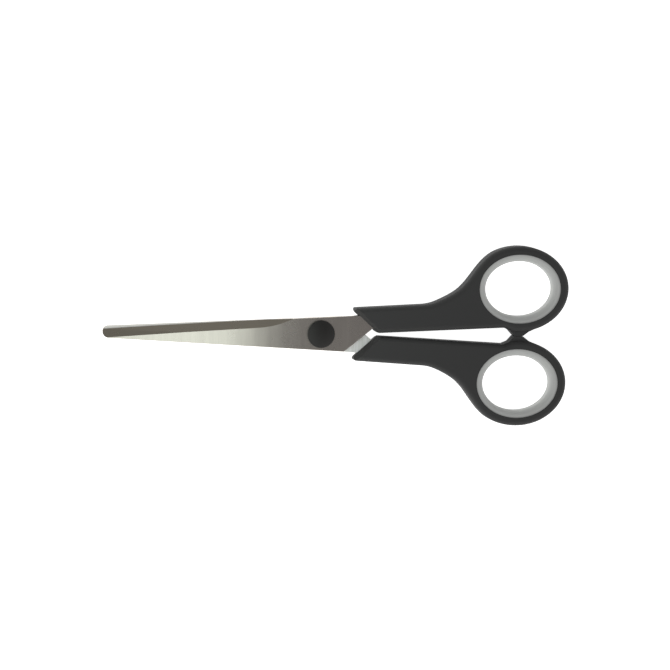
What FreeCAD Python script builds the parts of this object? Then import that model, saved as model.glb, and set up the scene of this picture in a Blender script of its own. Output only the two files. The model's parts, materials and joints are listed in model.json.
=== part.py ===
import FreeCAD, Part
import math
import os

from FreeCAD import Vector

# Office scissors, 175 mm long, closed and lying flat, in millimetres.
# +X runs from the tips to the finger rings and +Z is up, through the thickness.
# The front half (upper blade, handle on the +Y side) and the rear half are the
# same shape, turned over about the X axis. Every sub-part is drawn about the
# pivot, with Z = 0 half way between the blades, and then moved to the row frame,
# whose origin is at the centre of the bottom of the closed scissors.

TIP_X = -81.0            # pivot to the blunt tips
RING_END_X = 93.6        # pivot to the far side of the finger rings
HANDLE_THICK = 8.0       # handles, through Z
BLADE_THICK = 1.6        # stamped steel
BLADE_GAP = 0.2          # thickness of the washer between the blades
HANDLE_ROUND = 1.8       # rounding of the handles' long edges
SEAM_GAP = 0.12          # between the two stop lugs when closed

# Blade outline of the front half
EDGE_TIP_Y = 1.0         # cutting edge at the tip
EDGE_MID = (-40.0, 3.82)
EDGE_END = (8.0, 6.62)   # the edge ends in the unsharpened part by the pivot
SPINE_PIVOT_Y = -6.12    # spine beside the pivot
SPINE_SLOPE = 0.0495     # the blade narrows towards the tip
TIP_ROUND = 2.1          # spine corner of the tip
EDGE_CORNER = 0.5        # and its cutting-edge corner
SPINE_ROUND = 0.2        # rolled edge that the stamping leaves on the outer face
SHOULDER_X = 8.8         # the spine turns up to the tang here
TANG_TOP = (20.0, 7.4)   # corners of the tang, which narrows inside the handle
TANG_END_X = 46.0
TANG_END_Y = (8.6, 4.6)
TANG_FOOT = (21.2, 3.55)
TANG_ROUND = 1.8
FOOT_ROUND = 1.0         # inside corner at the tang's foot
SHOULDER_ROUND = 0.5
TANG_HOLE = (39.0, 6.3)  # the nylon flows through it and locks the blade
TANG_HOLE_RADIUS = 1.3

# Grinding of the cutting bevel on the outer face
BEVEL_WIDE = 2.9
TIP_BEVEL_WIDE = 3.15    # a second, flatter pass widens it towards the tip
TIP_BEVEL_END_X = -50.0
TIP_BEVEL_OVERRUN = 1.3  # how much farther the wheel runs, clear of the steel
BEVEL_LAND = 0.12        # thickness left at the cutting edge
BEVEL_END_X = -23.5      # the wheel starts to lift off here
WHEEL_RADIUS = 74.0
WHEEL_RUN = 20.0         # length over which it lifts clear
WHEEL_WIDE = 16.0

# Shank of the front handle: two nearly straight sides, cut off at an angle
TOP_AT_PIVOT = 9.0       # height of the outer side's line above the pivot
TOP_SLOPE = 0.061
INNER_AT_PIVOT = -0.5
INNER_SLOPE = 0.0515
FRONT_X = 4.0            # where the moulding would end if it weren't cut
FRONT_OUTER_X = 11.1     # where the cut meets the outer side
FRONT_INNER_X = 21.1     # and the inner side
FRONT_OUTER_ROUND = 1.0  # corners of the cut, seen from above
FRONT_INNER_ROUND = 2.5
FRONT_BEVEL_WIDE = 1.4   # the front's top and bottom edges are bevelled
FRONT_BEVEL_DEEP = 2.8

SHANK_END_X = 38.0       # the straight outer side ends here
SHANK_END_SLOPE = 0.07
SHOULDER_CURVE = ((60, 27.2), (56, 21.95), (52, 17.4), (48, 14.75), (44, 12.8))
INNER_END_X = 69.0       # the straight inner side ends here, before the ring
ANGLE_BLOCK_X = 30.0     # the slanting cut is clear of the shank beyond this

# Finger ring of the front handle
RING_CENTRE = (74.7, 17.7)
RING_OUTER = (18.9, 15.95)
RING_FOOT_ANGLE = -93.0      # where the ring runs into the inner side
RING_SHOULDER_ANGLE = 118.0  # and into the shoulder curve
GRIP_OUTER = (15.55, 12.9)
GRIP_INNER = (12.85, 10.25)
GRIP_THICK = 7.5
GRIP_ROUND = 2.4         # rounding towards the finger
LUG_THICK = 5.2          # stop lug, through Z

# Pivot
HOLE_CLEARANCE = 0.05    # the front blade turns on the screw
SHANK_RADIUS = 2.5
HEAD_RADIUS = 4.0
HEAD_THICK = 0.6
CAP_RADIUS = 5.1
CAP_RIM = 0.8            # height of the cap's upright rim
CAP_HEIGHT = 1.7
WASHER_RADIUS = 5.0
SPRING_WASHER_RADIUS = 4.1
SPRING_WASHER_THICK = 0.35
NUT_RADIUS = 4.4
NUT_THICK = 1.3
NUT_CHAMFER = 0.3
SLOT_WIDE = 1.2          # driver slot across the nut
SLOT_DEEP = 0.5
SLIDE_GAP = 0.05         # between the cap and the blade that turns under it

ROW_ORIGIN = Vector((TIP_X + RING_END_X) / 2, 0, -HANDLE_THICK / 2)
INNER_Z = BLADE_GAP / 2
OUTER_Z = INNER_Z + BLADE_THICK


def flat(x, y, z=0.0):
    return Vector(x, y, z)


def line(start, end):
    return Part.LineSegment(start, end).toShape()


def arc(start, middle, end):
    return Part.Arc(start, middle, end).toShape()


def prism(edges, bottom, top):
    """Upright solid on a closed outline drawn at Z = 0."""
    face = Part.Face(Part.Wire(edges))
    face.translate(Vector(0, 0, bottom))
    return face.extrude(Vector(0, 0, top - bottom))


def corner(before, point, after, radius):
    """Tangent arc that rounds one corner: returns its start, middle and end."""
    back = (before - point).normalize()
    ahead = (after - point).normalize()
    half = back.getAngle(ahead) / 2
    reach = radius / math.tan(half)
    bisector = (back + ahead).normalize()
    middle = point + bisector * (radius / math.sin(half) - radius)
    return point + back * reach, middle, point + ahead * reach


def rounded_chain(points, radii):
    """Straight runs through the points, with each inner point rounded."""
    edges = []
    last = points[0]
    for i in range(1, len(points) - 1):
        if radii[i - 1] > 0:
            start, middle, end = corner(points[i - 1], points[i], points[i + 1], radii[i - 1])
            edges += [line(last, start), arc(start, middle, end)]
            last = end
        else:
            edges.append(line(last, points[i]))
            last = points[i]
    edges.append(line(last, points[-1]))
    return edges


def ellipse(semi_axes):
    centre = flat(*RING_CENTRE)
    far = centre + flat(semi_axes[0], 0)
    top = centre + flat(0, semi_axes[1])
    return Part.Ellipse(far, top, centre)


def oval_prism(semi_axes, height):
    return prism([ellipse(semi_axes).toShape()], -height / 2, height / 2)


def turned_over(shape):
    """The rear half's copy of a front half's piece."""
    copy = shape.copy()
    copy.rotate(Vector(0, 0, 0), Vector(1, 0, 0), 180)
    return copy


def mirrored(shape):
    """The same shape on the other side of Z = 0."""
    return shape.mirror(Vector(0, 0, 0), Vector(0, 0, 1))


def spine_y(x):
    return SPINE_PIVOT_Y - SPINE_SLOPE * x


def top_y(x):
    return TOP_AT_PIVOT + TOP_SLOPE * x


def inner_y(x):
    return INNER_AT_PIVOT + INNER_SLOPE * x


def blade_outline():
    edge_start = flat(TIP_X, EDGE_TIP_Y)
    edge_end = flat(*EDGE_END)
    cutting_edge = arc(edge_start, flat(*EDGE_MID), edge_end)
    corners = [
        edge_end,
        flat(*TANG_TOP),
        flat(TANG_END_X, TANG_END_Y[0]),
        flat(TANG_END_X, TANG_END_Y[1]),
        flat(*TANG_FOOT),
        flat(SHOULDER_X, spine_y(SHOULDER_X)),
        flat(TIP_X, spine_y(TIP_X)),
        edge_start,
    ]
    radii = [0, TANG_ROUND, TANG_ROUND, FOOT_ROUND, SHOULDER_ROUND, TIP_ROUND]
    return [cutting_edge] + rounded_chain(corners, radii)


def wheel_lift(along, outward, run):
    """How far the wheel has moved off the bevel after a run along the edge."""
    height = WHEEL_RADIUS - math.sqrt(WHEEL_RADIUS ** 2 - run ** 2)
    return along * run + outward * height


def bevel_cutter():
    """What the wheel takes off: flat along the edge, lifting off towards the pivot."""
    along = (flat(*EDGE_MID) - flat(TIP_X, EDGE_TIP_Y)).normalize()
    rise = BLADE_THICK - BEVEL_LAND
    across = Vector(-along.y, along.x, 0)
    down_bevel = (across * BEVEL_WIDE - Vector(0, 0, rise)).normalize()
    outward = along.cross(down_bevel).normalize()
    if outward.z < 0:
        outward = outward * -1
    on_edge = flat(*EDGE_MID) + Vector(0, 0, INNER_Z + BEVEL_LAND)
    outside = on_edge - down_bevel * WHEEL_WIDE / 2
    start = outside + along * (TIP_X * 1.1 - EDGE_MID[0])
    lift = outside + along * (BEVEL_END_X - EDGE_MID[0])
    lift_middle = lift + wheel_lift(along, outward, WHEEL_RUN / 2)
    lift_end = lift + wheel_lift(along, outward, WHEEL_RUN)
    top = outward * WHEEL_RUN
    side = [
        line(start, lift),
        arc(lift, lift_middle, lift_end),
        line(lift_end, lift_end + top),
        line(lift_end + top, start + top),
        line(start + top, start),
    ]
    return Part.Face(Part.Wire(side)).extrude(down_bevel * WHEEL_WIDE)


def tip_pass():
    """What the flatter second pass takes off, from the tip to where it meets the bevel."""
    on_edge = flat(TIP_X, EDGE_TIP_Y, INNER_Z + BEVEL_LAND)
    wide = flat(TIP_X, EDGE_TIP_Y - TIP_BEVEL_WIDE, OUTER_Z)
    share = (TIP_BEVEL_END_X - TIP_X) / (EDGE_MID[0] - TIP_X)
    edge_y = EDGE_TIP_Y + share * (EDGE_MID[1] - EDGE_TIP_Y)
    narrow = flat(TIP_BEVEL_END_X, edge_y - BEVEL_WIDE, OUTER_Z)
    along = narrow - wide
    down_bevel = (wide - on_edge).normalize() * WHEEL_WIDE / 2
    outward = along.cross(down_bevel).normalize() * WHEEL_RUN
    if outward.z < 0:
        outward = outward * -1
    start = on_edge - along / 2
    end = on_edge + along * TIP_BEVEL_OVERRUN
    corners = [start - down_bevel, end - down_bevel, end + down_bevel, start + down_bevel]
    return Part.Face(Part.makePolygon(corners + corners[:1])).extrude(outward)


def spine_edges(blank):
    """The outer face's edges along the spine, from the tip to the shoulder."""
    found = []
    for edge in blank.Edges:
        box = edge.BoundBox
        if box.ZMin > OUTER_Z - 0.01 and box.YMin < -1 and box.XMax < SHOULDER_X:
            found.append(edge)
    return found


def tip_edges(blank):
    """The upright edge where the cutting edge meets the blunt tip."""
    corner_point = flat(TIP_X, EDGE_TIP_Y, INNER_Z)
    return [edge for edge in blank.Edges
            if edge.BoundBox.ZLength > BLADE_THICK / 2
            and edge.Vertexes[0].Point.distanceToPoint(corner_point) < BLADE_THICK * 1.1
            and edge.BoundBox.YMin > 0]


def blade(hole_radius):
    blank = prism(blade_outline(), INNER_Z, OUTER_Z)
    blank = blank.makeFillet(EDGE_CORNER, tip_edges(blank))
    blank = blank.makeFillet(SPINE_ROUND, spine_edges(blank))
    hole = Part.makeCylinder(hole_radius, BLADE_THICK * 3, Vector(0, 0, -BLADE_THICK))
    tang_hole = Part.makeCylinder(TANG_HOLE_RADIUS, BLADE_THICK * 3,
                                  flat(*TANG_HOLE, -BLADE_THICK))
    return blank.cut(hole).cut(tang_hole).cut(bevel_cutter()).cut(tip_pass())


def handle_outline():
    """Shank and ring of the front handle, before its front is cut to an angle."""
    oval = ellipse(RING_OUTER)
    ring_foot = math.radians(RING_FOOT_ANGLE)
    ring_shoulder = math.radians(RING_SHOULDER_ANGLE)
    foot = oval.value(ring_foot)
    shoulder = oval.value(ring_shoulder)
    shank_top = flat(SHANK_END_X, top_y(SHANK_END_X))
    inner_end = flat(INNER_END_X, inner_y(INNER_END_X))
    front = rounded_chain(
        [shank_top, flat(FRONT_X, top_y(FRONT_X)), flat(FRONT_X, inner_y(FRONT_X)), inner_end],
        [0, 0])
    under_ring = Part.BSplineCurve()
    under_ring.interpolate([inner_end, foot], InitialTangent=flat(1, INNER_SLOPE),
                           FinalTangent=oval.tangent(ring_foot)[0])
    web = Part.BSplineCurve()
    web.interpolate([shoulder] + [flat(*point) for point in SHOULDER_CURVE] + [shank_top],
                    InitialTangent=oval.tangent(ring_shoulder)[0],
                    FinalTangent=flat(-1, -SHANK_END_SLOPE))
    ring = Part.ArcOfEllipse(oval, ring_foot, ring_shoulder)
    return front + [under_ring.toShape(), ring.toShape(), web.toShape()]


def angled_front():
    """Upright block whose slanting end cuts the shank's front."""
    clear = RING_END_X
    corners = [
        flat(clear * 2, clear),
        flat(ANGLE_BLOCK_X, clear),
        flat(ANGLE_BLOCK_X, top_y(ANGLE_BLOCK_X)),
        flat(FRONT_OUTER_X, top_y(FRONT_OUTER_X)),
        flat(FRONT_INNER_X, inner_y(FRONT_INNER_X)),
        flat(SHANK_END_X, inner_y(SHANK_END_X)),
        flat(clear * 2, -clear),
        flat(clear * 2, clear),
    ]
    radii = [0, 0, FRONT_OUTER_ROUND, FRONT_INNER_ROUND, 0, 0]
    return prism(rounded_chain(corners, radii), -HANDLE_THICK, HANDLE_THICK)


def front_bevel():
    """What is taken off the top edge of the slanting front."""
    outer = flat(FRONT_OUTER_X, top_y(FRONT_OUTER_X))
    inner = flat(FRONT_INNER_X, inner_y(FRONT_INNER_X))
    along = (outer - inner).normalize()
    into = Vector(along.y, -along.x, 0)
    half = HANDLE_THICK / 2
    low = inner - along * HANDLE_THICK + Vector(0, 0, half - FRONT_BEVEL_DEEP)
    high = low + into * FRONT_BEVEL_WIDE + Vector(0, 0, FRONT_BEVEL_DEEP)
    step = high - low
    corners = [low - step, low + step * 2, low - step + Vector(0, 0, HANDLE_THICK), low - step]
    return Part.Face(Part.makePolygon(corners)).extrude(along * HANDLE_THICK * 4)


def stop_lug():
    """Small block under the ring that meets the other handle's block when closed."""
    corners = [
        flat(75.0, 4.0),
        flat(68.4, 3.8),
        flat(69.6, 2.9),
        flat(71.4, 2.2),
        flat(73.3, SEAM_GAP / 2),
        flat(76.6, SEAM_GAP / 2),
        flat(78.8, 1.7),
        flat(82.0, 3.2),
        flat(75.0, 4.0),
    ]
    radii = [0, 1.0, 2.0, 0.4, 0.5, 2.0, 0]
    return prism(rounded_chain(corners, radii), -LUG_THICK / 2, LUG_THICK / 2)


def long_edges(solid):
    """The edges of the flat top and bottom faces."""
    half = HANDLE_THICK / 2
    found = []
    for edge in solid.Edges:
        box = edge.BoundBox
        if box.ZLength < 0.01 and abs(abs(box.ZMin) - half) < 0.01:
            found.append(edge)
    return found


def handle(blade_solid):
    half = HANDLE_THICK / 2
    body = prism(handle_outline(), -half, half)
    body = body.makeFillet(HANDLE_ROUND, long_edges(body))
    body = body.common(angled_front())
    body = body.cut(front_bevel()).cut(mirrored(front_bevel()))
    body = body.fuse(stop_lug())
    body = body.cut(oval_prism(GRIP_OUTER, HANDLE_THICK * 2))
    return body.cut(blade_solid)


def grip_ring():
    """Soft liner of the finger hole, rounded towards the finger."""
    ring = oval_prism(GRIP_OUTER, GRIP_THICK).cut(oval_prism(GRIP_INNER, HANDLE_THICK * 2))
    inner_edges = []
    for edge in ring.Edges:
        box = edge.BoundBox
        if box.ZLength < 0.01 and box.XLength < GRIP_INNER[0] * 2 + 0.1:
            inner_edges.append(edge)
    return ring.makeFillet(GRIP_ROUND, inner_edges)


def disc(radius, bottom, top):
    return Part.makeCylinder(radius, top - bottom, Vector(0, 0, bottom))


def head_bottom():
    return OUTER_Z + SLIDE_GAP


def pivot_screw():
    tail = -OUTER_Z - SPRING_WASHER_THICK - NUT_THICK
    shank = disc(SHANK_RADIUS, tail, head_bottom())
    head = disc(HEAD_RADIUS, head_bottom(), head_bottom() + HEAD_THICK)
    return shank.fuse(head).removeSplitter()


def pivot_cap():
    """Low moulded dome that snaps over the screw's head."""
    bottom = head_bottom()
    rim = Vector(CAP_RADIUS, 0, bottom + CAP_RIM)
    crown = Vector(0, 0, bottom + CAP_HEIGHT)
    sag = CAP_HEIGHT - CAP_RIM
    dome_radius = (CAP_RADIUS ** 2 + sag ** 2) / (2 * sag)
    half_way = CAP_RADIUS / 2
    drop = dome_radius - math.sqrt(dome_radius ** 2 - half_way ** 2)
    profile = [
        line(Vector(0, 0, bottom), Vector(CAP_RADIUS, 0, bottom)),
        line(Vector(CAP_RADIUS, 0, bottom), rim),
        arc(rim, Vector(half_way, 0, crown.z - drop), crown),
        line(crown, Vector(0, 0, bottom)),
    ]
    dome = Part.Face(Part.Wire(profile)).revolve(Vector(0, 0, 0), Vector(0, 0, 1), 360)
    return dome.cut(disc(HEAD_RADIUS, bottom, bottom + HEAD_THICK))


def blade_washer():
    return disc(WASHER_RADIUS, -INNER_Z, INNER_Z).cut(disc(SHANK_RADIUS, -1, 1))


def spring_washer():
    bottom = -OUTER_Z - SPRING_WASHER_THICK
    return disc(SPRING_WASHER_RADIUS, bottom, -OUTER_Z).cut(disc(SHANK_RADIUS, bottom, 0))


def pivot_nut():
    """Round nut with a slot across its face for a driver."""
    top = -OUTER_Z - SPRING_WASHER_THICK
    nut = disc(NUT_RADIUS, top - NUT_THICK, top).cut(disc(SHANK_RADIUS, top - 2, 0))
    face_edge = [edge for edge in nut.Edges
                 if abs(edge.BoundBox.ZMax - (top - NUT_THICK)) < 0.01
                 and edge.BoundBox.XLength > NUT_RADIUS]
    nut = nut.makeChamfer(NUT_CHAMFER, face_edge)
    slot = Part.makeBox(NUT_RADIUS * 3, SLOT_WIDE, SLOT_DEEP * 2,
                        Vector(-NUT_RADIUS * 1.5, -SLOT_WIDE / 2, top - NUT_THICK - SLOT_DEEP))
    return nut.cut(slot)


def main():
    front_blade = blade(SHANK_RADIUS + HOLE_CLEARANCE)
    rear_blade = turned_over(blade(SHANK_RADIUS))
    front_handle = handle(front_blade)
    front_grip = grip_ring()
    pieces = {
        "front_blade": front_blade,
        "front_handle": front_handle,
        "front_grip_ring": front_grip,
        "rear_blade": rear_blade,
        "rear_handle": turned_over(front_handle),
        "rear_grip_ring": turned_over(front_grip),
        "blade_washer": blade_washer(),
        "pivot_screw": pivot_screw(),
        "pivot_cap": pivot_cap(),
        "spring_washer": spring_washer(),
        "pivot_nut": pivot_nut(),
    }
    os.makedirs("parts", exist_ok=True)
    for name, shape in pieces.items():
        shape.translate(ROW_ORIGIN * -1)
        shape.exportStep("parts/" + name + ".step")
        print(name, "solids", len(shape.Solids), "valid", shape.isValid(),
              "volume %.1f" % shape.Volume)


main()
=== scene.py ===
import json
import math

import bpy
from mathutils import Matrix, Vector

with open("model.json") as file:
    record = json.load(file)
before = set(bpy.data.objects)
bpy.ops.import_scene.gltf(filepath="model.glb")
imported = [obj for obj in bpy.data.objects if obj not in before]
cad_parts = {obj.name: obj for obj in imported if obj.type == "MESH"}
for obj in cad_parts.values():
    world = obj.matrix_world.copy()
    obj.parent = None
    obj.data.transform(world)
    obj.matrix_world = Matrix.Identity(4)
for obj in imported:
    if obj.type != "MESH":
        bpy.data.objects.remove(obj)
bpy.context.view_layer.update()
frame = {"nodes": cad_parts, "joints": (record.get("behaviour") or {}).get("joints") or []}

# ---------------------------------------------------------------- blades
# Two blades stamped from 1.6 mm stainless strip, turned back to back. Their flats are
# belt-ground across the blade, the cutting bevel is ground last on a finer wheel, and
# the outline keeps its dull stamped side. The tangs are moulded into the handles.

SCRATCH_SPACING = 0.00019  # real ones are 0.03 mm apart: drawn coarser so that they show
SCRATCH_LENGTH = 0.007     # how far one scratch runs across the blade
SCRATCH_DEPTH = 0.00003    # real ones are about 0.001 mm deep: drawn deeper, as they are wider
GROOVE_SPACING = 0.0006    # marks of the first, coarser belt, left on the inner faces
BAND_SPACING = 0.0024      # bands where the belt pressed harder
GROOVE_LENGTH = 0.025      # grooves and bands run right across the blade
WORN_SPACING = 0.012       # patches where the belt was more worn

FLAT_DARK = "#bfb7b1"
FLAT_LIGHT = "#cbc3bc"
# the inner face's groove tones: drawn near white, partly ground matt steel and partly a painted
# reflection of the bright side that the hollow grind catches
GROOVE_DARK_AND_REFLECTION = "#eceeea"
GROOVE_LIGHT_AND_REFLECTION = "#ffffff"
FINE_INNER_AND_REFLECTION = "#dad6d2"     # the inner face towards the tip, pale partly as a painted reflection
BEVEL_TONE = "#979084"
SIDE_TONE = "#c9c3bd"
FLAT_ROUGH = (0.26, 0.29)
INNER_DULLING = 0.3        # added to the roughness on the inner face
COARSE_TO_X = -0.005       # the inner face's grooves start to get finer here,
FINE_FROM_X = -0.045       # and from here to the tip they are too fine to see
INNER_MIN = 0.8            # how far a face's normal stands up: an inner face above this,
BEVEL_MAX = 0.96           # a bevel or a side below this,
SIDE_MAX = 0.6             # and a side below this


def linear(hex_colour):
    """One sRGB hex colour as linear RGBA."""
    channels = []
    for i in (1, 3, 5):
        value = int(hex_colour[i:i + 2], 16) / 255
        channels.append(value / 12.92 if value <= 0.04045 else ((value + 0.055) / 1.055) ** 2.4)
    return (*channels, 1.0)


def add(tree, kind, settings=None, stops=(), **inputs):
    """Adds one node. Settings are its properties, and stops are a ramp's places and colours.
    Inputs are values or output sockets: Base_Color goes to Base Color, i2 to input number 2."""
    node = tree.nodes.new("ShaderNode" + kind)
    for name, value in (settings or {}).items():
        setattr(node, name, value)
    for i, (position, colour) in enumerate(stops):
        elements = node.color_ramp.elements
        stop = elements[i] if i < 2 else elements.new(position)
        stop.position = position
        stop.color = colour
    for name, value in inputs.items():
        key = int(name[1:]) if name[0] == "i" and name[1:].isdigit() else name.replace("_", " ")
        if isinstance(value, bpy.types.NodeSocket):
            tree.links.new(value, node.inputs[key])
        else:
            node.inputs[key].default_value = value
    return node


def new_material(name):
    """An empty node material, with its tree and the output node."""
    material = bpy.data.materials.new(name)
    material.use_nodes = True
    tree = material.node_tree
    tree.nodes.clear()
    return material, tree, add(tree, "OutputMaterial")


def give(node, material):
    """Puts a material in every slot of a carried-over CAD node."""
    slots = frame["nodes"][node].data.materials
    slots.clear()
    slots.append(material)


def face_masks(tree, inner_side):
    """Masks for a blade's inner face, ground bevel and stamped sides, from its own normals.
    inner_side is +1 where the inner face looks up and -1 where it looks down."""
    normal = add(tree, "NewGeometry").outputs["True Normal"]
    own = add(tree, "VectorTransform", {"vector_type": "NORMAL", "convert_from": "WORLD",
                                        "convert_to": "OBJECT"}, Vector=normal)
    upward = add(tree, "SeparateXYZ", Vector=own.outputs[0]).outputs["Z"]
    inward = add(tree, "Math", {"operation": "MULTIPLY"}, i0=upward, i1=inner_side)
    level = add(tree, "Math", {"operation": "ABSOLUTE"}, i0=upward)
    inner = add(tree, "Math", {"operation": "GREATER_THAN"}, i0=inward.outputs[0], i1=INNER_MIN)
    bevel = add(tree, "Math", {"operation": "LESS_THAN"}, i0=level.outputs[0], i1=BEVEL_MAX)
    side = add(tree, "Math", {"operation": "LESS_THAN"}, i0=level.outputs[0], i1=SIDE_MAX)
    return inner.outputs[0], bevel.outputs[0], side.outputs[0]


def belt_marks(tree, place, spacing, length, detail, roughness=0.5):
    """Marks of the grinding belt: spacing apart along the blade, and length long across it."""
    stretch = (1 / spacing, 1 / length, 1 / length)
    across = add(tree, "Mapping", Vector=place, Scale=stretch)
    marks = add(tree, "TexNoise", Vector=across.outputs[0], Scale=1.0, Detail=detail,
                Roughness=roughness)
    return marks.outputs["Fac"]


def ground_stainless(name, inner_side):
    """Belt-ground stainless steel. The eye gets fine scratches across the blade, soft broad
    reflections on the flat, a darker clean bevel, and a pale grooved inner face whose paleness
    is partly a painted reflection of a bright side."""
    material, tree, output = new_material(name)
    place = add(tree, "TexCoord").outputs["Object"]
    inner, bevel, side = face_masks(tree, inner_side)
    scratches = belt_marks(tree, place, SCRATCH_SPACING, SCRATCH_LENGTH, detail=3.0,
                           roughness=0.65)
    bands = belt_marks(tree, place, BAND_SPACING, GROOVE_LENGTH, detail=2.0)
    grooves = belt_marks(tree, place, GROOVE_SPACING, GROOVE_LENGTH, detail=1.0)
    worn = add(tree, "TexNoise", Vector=place, Scale=1 / WORN_SPACING, Detail=3.0).outputs["Fac"]

    # the flat: scratches and bands in equal parts
    half_scratches = add(tree, "Math", {"operation": "MULTIPLY"}, i0=scratches, i1=0.5)
    streaks = add(tree, "Math", {"operation": "MULTIPLY_ADD"}, i0=bands, i1=0.5,
                  i2=half_scratches.outputs[0])
    flat_tone = add(tree, "ValToRGB", Fac=streaks.outputs[0],
                    stops=((0.33, linear(FLAT_DARK)), (0.66, linear(FLAT_LIGHT))))

    # the inner face: grooved by the pivot, finer towards the tip, in near-white tones that are
    # partly ground matt steel and partly a painted reflection of the bright side its hollow
    # grind catches
    groove_and_reflection_tone = add(tree, "ValToRGB", Fac=grooves,
                      stops=((0.35, linear(GROOVE_DARK_AND_REFLECTION)), (0.6, linear(GROOVE_LIGHT_AND_REFLECTION))))
    length = add(tree, "SeparateXYZ", Vector=place)
    finer = add(tree, "MapRange", Value=length.outputs["X"], From_Min=COARSE_TO_X,
                From_Max=FINE_FROM_X)
    inner_and_reflection_tone = add(tree, "Mix", {"data_type": "RGBA"}, i0=finer.outputs[0],
                     i6=groove_and_reflection_tone.outputs["Color"], i7=linear(FINE_INNER_AND_REFLECTION))

    # each face takes its own tone, the side last
    with_bevel = add(tree, "Mix", {"data_type": "RGBA"}, i0=bevel,
                     i6=flat_tone.outputs["Color"], i7=linear(BEVEL_TONE))
    with_inner = add(tree, "Mix", {"data_type": "RGBA"}, i0=inner, i6=with_bevel.outputs[2],
                     i7=inner_and_reflection_tone.outputs[2])
    colour = add(tree, "Mix", {"data_type": "RGBA"}, i0=side, i6=with_inner.outputs[2],
                 i7=linear(SIDE_TONE))

    # the coarse inner face scatters light, so it is drawn dull and not mirror-like; it is also
    # drawn non-metallic, so that its near-white colour stands in as a painted reflection
    shine = add(tree, "MapRange", Value=worn, To_Min=FLAT_ROUGH[0], To_Max=FLAT_ROUGH[1])
    dulled = add(tree, "MapRange", Value=inner, To_Min=0.0, To_Max=INNER_DULLING)
    rough = add(tree, "Math", {"operation": "ADD"}, i0=shine.outputs[0], i1=dulled.outputs[0])
    metallic = add(tree, "MapRange", Value=inner, To_Min=1.0, To_Max=0.0)
    bump = add(tree, "Bump", Strength=0.3, Distance=SCRATCH_DEPTH, Height=scratches)
    shader = add(tree, "BsdfPrincipled", Base_Color=colour.outputs[2],
                 Metallic=metallic.outputs[0], Roughness=rough.outputs[0],
                 Normal=bump.outputs[0])
    tree.links.new(shader.outputs[0], output.inputs["Surface"])
    return material


give("front_blade", ground_stainless("ground_stainless_front", -1))
give("rear_blade", ground_stainless("ground_stainless_rear", 1))

# ---------------------------------------------------------------- handles
# Two mouldings of black nylon, shot round the blades' tangs. The spark-eroded mould
# leaves a satin skin whose grain is too fine to see singly.

NYLON_GRAIN = 0.0004       # real eroded grain is 0.05 mm: drawn coarser so that it shows
NYLON_GRAIN_DEPTH = 0.00004
NYLON_PATCH = 0.011        # areas that the mould left a little glossier
NYLON_BLACK = "#393939"
NYLON_ROUGH = (0.64, 0.74)

nylon, nylon_tree, nylon_output = new_material("moulded_nylon_black")
# satin black plastic: an even charcoal tone with a faint soft sheen on the rounded edges
nylon_place = add(nylon_tree, "TexCoord").outputs["Object"]
nylon_grain = add(nylon_tree, "TexNoise", Vector=nylon_place, Scale=1 / NYLON_GRAIN,
                  Detail=2.0)
nylon_patch = add(nylon_tree, "TexNoise", Vector=nylon_place, Scale=1 / NYLON_PATCH,
                  Detail=3.0)
nylon_rough = add(nylon_tree, "MapRange", Value=nylon_patch.outputs["Fac"],
                  To_Min=NYLON_ROUGH[0], To_Max=NYLON_ROUGH[1])
nylon_bump = add(nylon_tree, "Bump", Strength=0.2, Distance=NYLON_GRAIN_DEPTH,
                 Height=nylon_grain.outputs["Fac"])
nylon_shader = add(nylon_tree, "BsdfPrincipled", Base_Color=linear(NYLON_BLACK), IOR=1.5,
                   Specular_IOR_Level=0.25, Roughness=nylon_rough.outputs[0],
                   Normal=nylon_bump.outputs[0])
nylon_tree.links.new(nylon_shader.outputs[0], nylon_output.inputs["Surface"])
give("front_handle", nylon)
give("rear_handle", nylon)

# ---------------------------------------------------------------- finger-ring liners
# Grey thermoplastic rubber, moulded in a second shot into each handle's ring. Its
# finger side is rounded and has no texture.

RUBBER_PATCH = 0.007       # clouds in the moulded rubber
RUBBER_DARK = "#b6b7b5"
RUBBER_LIGHT = "#bcbdbb"
RUBBER_ROUGH = (0.58, 0.68)

rubber, rubber_tree, rubber_output = new_material("moulded_rubber_grey")
# matt grey rubber: almost no highlight, slightly uneven where fingers polish it
rubber_place = add(rubber_tree, "TexCoord").outputs["Object"]
rubber_patch = add(rubber_tree, "TexNoise", Vector=rubber_place, Scale=1 / RUBBER_PATCH,
                   Detail=3.0)
rubber_tone = add(rubber_tree, "ValToRGB", Fac=rubber_patch.outputs["Fac"],
                  stops=((0.0, linear(RUBBER_DARK)), (1.0, linear(RUBBER_LIGHT))))
rubber_rough = add(rubber_tree, "MapRange", Value=rubber_patch.outputs["Fac"],
                   To_Min=RUBBER_ROUGH[0], To_Max=RUBBER_ROUGH[1])
rubber_shader = add(rubber_tree, "BsdfPrincipled", Base_Color=rubber_tone.outputs["Color"],
                    IOR=1.5, Specular_IOR_Level=0.3, Roughness=rubber_rough.outputs[0])
rubber_tree.links.new(rubber_shader.outputs[0], rubber_output.inputs["Surface"])
give("front_grip_ring", rubber)
give("rear_grip_ring", rubber)

# ---------------------------------------------------------------- pivot
# A turned steel screw holds the blades over a thin acetal washer, with a spring washer
# and a slotted nut behind. A black cap is pressed over the screw's head.

CAP_PATCH = 0.0033         # handling marks on the cap
CAP_BLACK = "#1c1a19"
CAP_ROUGH = (0.45, 0.6)
TOOL_FEED = 0.0006         # real feed is 0.1 mm a turn: drawn coarser so that the rings show
TOOL_MARK_DEPTH = 0.00002
RINGS_AT_SCALE_1 = math.tau / 20    # how far apart a wave node draws its rings at scale 1
TURNED_TONE = "#bdb9b1"
TURNED_ROUGH = (0.22, 0.32)
ACETAL_PATCH = 0.0025      # clouds in the acetal
ACETAL_WHITE = "#d8d8d0"
ACETAL_ROUGH = (0.35, 0.45)

cap, cap_tree, cap_output = new_material("moulded_polypropylene_black")
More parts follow.
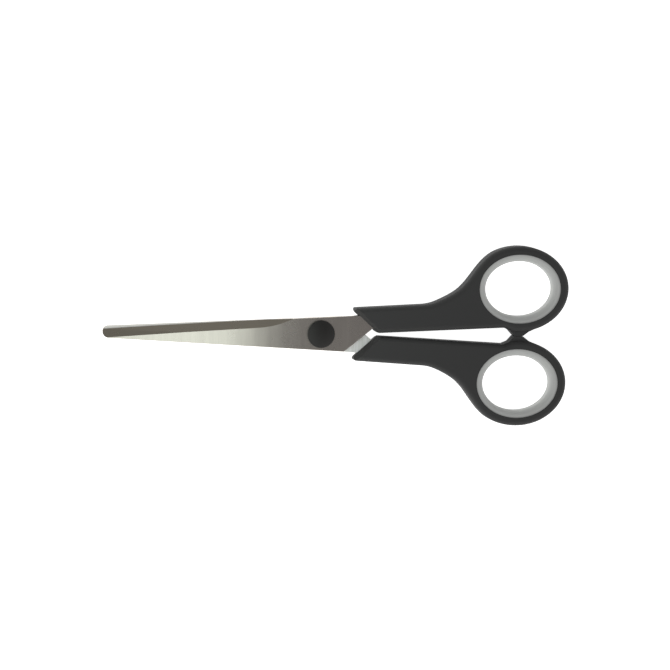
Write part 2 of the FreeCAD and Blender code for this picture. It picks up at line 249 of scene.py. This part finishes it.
# polypropylene: near black, with a soft sheen that handling has left a little uneven
cap_place = add(cap_tree, "TexCoord").outputs["Object"]
cap_patch = add(cap_tree, "TexNoise", Vector=cap_place, Scale=1 / CAP_PATCH, Detail=2.0)
cap_rough = add(cap_tree, "MapRange", Value=cap_patch.outputs["Fac"],
                To_Min=CAP_ROUGH[0], To_Max=CAP_ROUGH[1])
cap_shader = add(cap_tree, "BsdfPrincipled", Base_Color=linear(CAP_BLACK), IOR=1.5,
                 Specular_IOR_Level=0.35, Roughness=cap_rough.outputs[0])
cap_tree.links.new(cap_shader.outputs[0], cap_output.inputs["Surface"])
give("pivot_cap", cap)

turned, turned_tree, turned_output = new_material("turned_steel_bright")
# free-cutting steel: concentric tool marks that catch the light as faint rings
turned_place = add(turned_tree, "TexCoord").outputs["Object"]
pivot = Vector(frame["joints"][0]["pos_m"])
turned_centre = add(turned_tree, "Mapping", Vector=turned_place, Location=-pivot)
turned_rings = add(turned_tree, "TexWave", {"wave_type": "RINGS", "rings_direction": "Z"},
                   Vector=turned_centre.outputs[0], Scale=RINGS_AT_SCALE_1 / TOOL_FEED,
                   Distortion=0.5)
turned_bump = add(turned_tree, "Bump", Strength=0.3, Distance=TOOL_MARK_DEPTH,
                  Height=turned_rings.outputs["Fac"])
turned_rough = add(turned_tree, "MapRange", Value=turned_rings.outputs["Fac"],
                   To_Min=TURNED_ROUGH[0], To_Max=TURNED_ROUGH[1])
turned_shader = add(turned_tree, "BsdfPrincipled", Base_Color=linear(TURNED_TONE), Metallic=1.0,
                    Roughness=turned_rough.outputs[0], Normal=turned_bump.outputs[0])
turned_tree.links.new(turned_shader.outputs[0], turned_output.inputs["Surface"])
for part_name in ("pivot_screw", "pivot_nut", "spring_washer"):
    give(part_name, turned)

acetal, acetal_tree, acetal_output = new_material("moulded_acetal_white")
# acetal: milky white with a waxy half gloss, of which only the washer's edge can be seen
acetal_place = add(acetal_tree, "TexCoord").outputs["Object"]
acetal_patch = add(acetal_tree, "TexNoise", Vector=acetal_place, Scale=1 / ACETAL_PATCH)
acetal_rough = add(acetal_tree, "MapRange", Value=acetal_patch.outputs["Fac"],
                   To_Min=ACETAL_ROUGH[0], To_Max=ACETAL_ROUGH[1])
acetal_shader = add(acetal_tree, "BsdfPrincipled", Base_Color=linear(ACETAL_WHITE), IOR=1.48,
                    Roughness=acetal_rough.outputs[0])
acetal_tree.links.new(acetal_shader.outputs[0], acetal_output.inputs["Surface"])
give("blade_washer", acetal)

# ---------------------------------------------------------------- floor
# A plain white light table under the scissors, lit a little from below so that
# shadows stay faint.

FLOOR_HALF = 1.5
FLOOR_TOP = -0.0001        # a hair under the handles, so that no two faces share a plane
FLOOR_CLOUDS = 3.0         # across the whole sheet, too faint to see singly
FLOOR_GREY = (0.78, 0.82)
FLOOR_GLOW = 0.92

floor_mesh = bpy.data.meshes.new("floor")
floor_mesh.from_pydata(
    [(-FLOOR_HALF, -FLOOR_HALF, FLOOR_TOP),
     (FLOOR_HALF, -FLOOR_HALF, FLOOR_TOP),
     (FLOOR_HALF, FLOOR_HALF, FLOOR_TOP),
     (-FLOOR_HALF, FLOOR_HALF, FLOOR_TOP)],
    [], [(0, 1, 2, 3)])
floor = bpy.data.objects.new("floor", floor_mesh)
bpy.context.scene.collection.objects.link(floor)
floor_material, floor_tree, floor_output = new_material("opal_acrylic_white")
# opal acrylic sheet: white and matt, glowing faintly from the lamps below it
floor_cloud = add(floor_tree, "TexNoise", Scale=FLOOR_CLOUDS)
floor_tone = add(floor_tree, "MapRange", Value=floor_cloud.outputs["Fac"],
                 To_Min=FLOOR_GREY[0], To_Max=FLOOR_GREY[1])
floor_shader = add(floor_tree, "BsdfPrincipled", Base_Color=floor_tone.outputs[0], Roughness=0.9,
                   Emission_Color=(1, 1, 1, 1), Emission_Strength=FLOOR_GLOW)
floor_tree.links.new(floor_shader.outputs[0], floor_output.inputs["Surface"])
floor_mesh.materials.append(floor_material)

# ---------------------------------------------------------------- light
# A white light tent, brightest half way up and dim overhead where the camera looks in,
# with its far (+Y) side left darker. One small card hangs over the front of the blades.

TENT_STEPS = ((0.0, 0.4), (0.3, 0.7), (0.55, 0.8), (0.78, 0.2), (1.0, 0.1))    # height, level
TENT_GLOW = 1.95
FAR_SIDE_LEVEL = 0.42
FAR_SIDE_FROM = -0.1       # the far side starts to darken here, along +Y,
FAR_SIDE_TO = 0.6          # and is as dark as it gets from here on
CARD_PLACE = (-0.0525, -0.014, 0.08)
CARD_SIZE = (0.065, 0.11)
CARD_WATTS = 0.029
CARD_TINT = (0.89, 1.01, 0.94)

world = bpy.data.worlds.new("light_tent")
bpy.context.scene.world = world
world.use_nodes = True
tent = world.node_tree
tent.nodes.clear()
toward = add(tent, "SeparateXYZ", Vector=add(tent, "TexCoord").outputs["Generated"])
height = add(tent, "ValToRGB", Fac=toward.outputs["Z"],
             stops=[(place, (level, level, level, 1)) for place, level in TENT_STEPS])
height.color_ramp.interpolation = "EASE"
far_side = add(tent, "MapRange", {"interpolation_type": "SMOOTHSTEP"}, Value=toward.outputs["Y"],
               From_Min=FAR_SIDE_FROM, From_Max=FAR_SIDE_TO, To_Min=1.0, To_Max=FAR_SIDE_LEVEL)
shaded = add(tent, "Math", {"operation": "MULTIPLY"}, i0=height.outputs["Color"],
             i1=far_side.outputs[0])
glow = add(tent, "Math", {"operation": "MULTIPLY"}, i0=shaded.outputs[0], i1=TENT_GLOW)
sky = add(tent, "Background", Color=(1, 1, 1, 1), Strength=glow.outputs[0])
add(tent, "OutputWorld", Surface=sky.outputs[0])

card_light = bpy.data.lights.new("blade_card", "AREA")
card_light.shape = "RECTANGLE"
card_light.size, card_light.size_y = CARD_SIZE
card_light.energy = CARD_WATTS
card_light.color = CARD_TINT
card = bpy.data.objects.new("blade_card", card_light)
card.location = CARD_PLACE
card.visible_camera = False
bpy.context.scene.collection.objects.link(card)

# ---------------------------------------------------------------- camera
# Almost straight down from a long way off, leaning a little towards the tips and the
# far side, and turned slightly so that the scissors lie level.

VIEW_DIRECTION = Vector((-0.19, 0.10, 1.0)).normalized()
VIEW_CENTRE = Vector((0.00563, -0.00049, 0))    # from the pivot
CAMERA_DISTANCE = 1.3
CAMERA_ROLL = 0.0283       # radians
CAMERA_LENS = 188.5        # millimetres, as is the sensor
CAMERA_SENSOR = 36.0

camera_target = pivot + VIEW_CENTRE
level_right = Vector((0, 1, 0)).cross(VIEW_DIRECTION).normalized()
level_up = VIEW_DIRECTION.cross(level_right)
right = level_right * math.cos(CAMERA_ROLL) + level_up * math.sin(CAMERA_ROLL)
up = level_up * math.cos(CAMERA_ROLL) - level_right * math.sin(CAMERA_ROLL)
camera_data = bpy.data.cameras.new("camera")
camera_data.lens = CAMERA_LENS
camera_data.sensor_width = CAMERA_SENSOR
camera = bpy.data.objects.new("camera", camera_data)
camera.matrix_world = (Matrix.Translation(camera_target + VIEW_DIRECTION * CAMERA_DISTANCE)
                       @ Matrix((right, up, VIEW_DIRECTION)).transposed().to_4x4())
bpy.context.scene.collection.objects.link(camera)
bpy.context.scene.camera = camera
bpy.context.scene.view_settings.view_transform = "Standard"
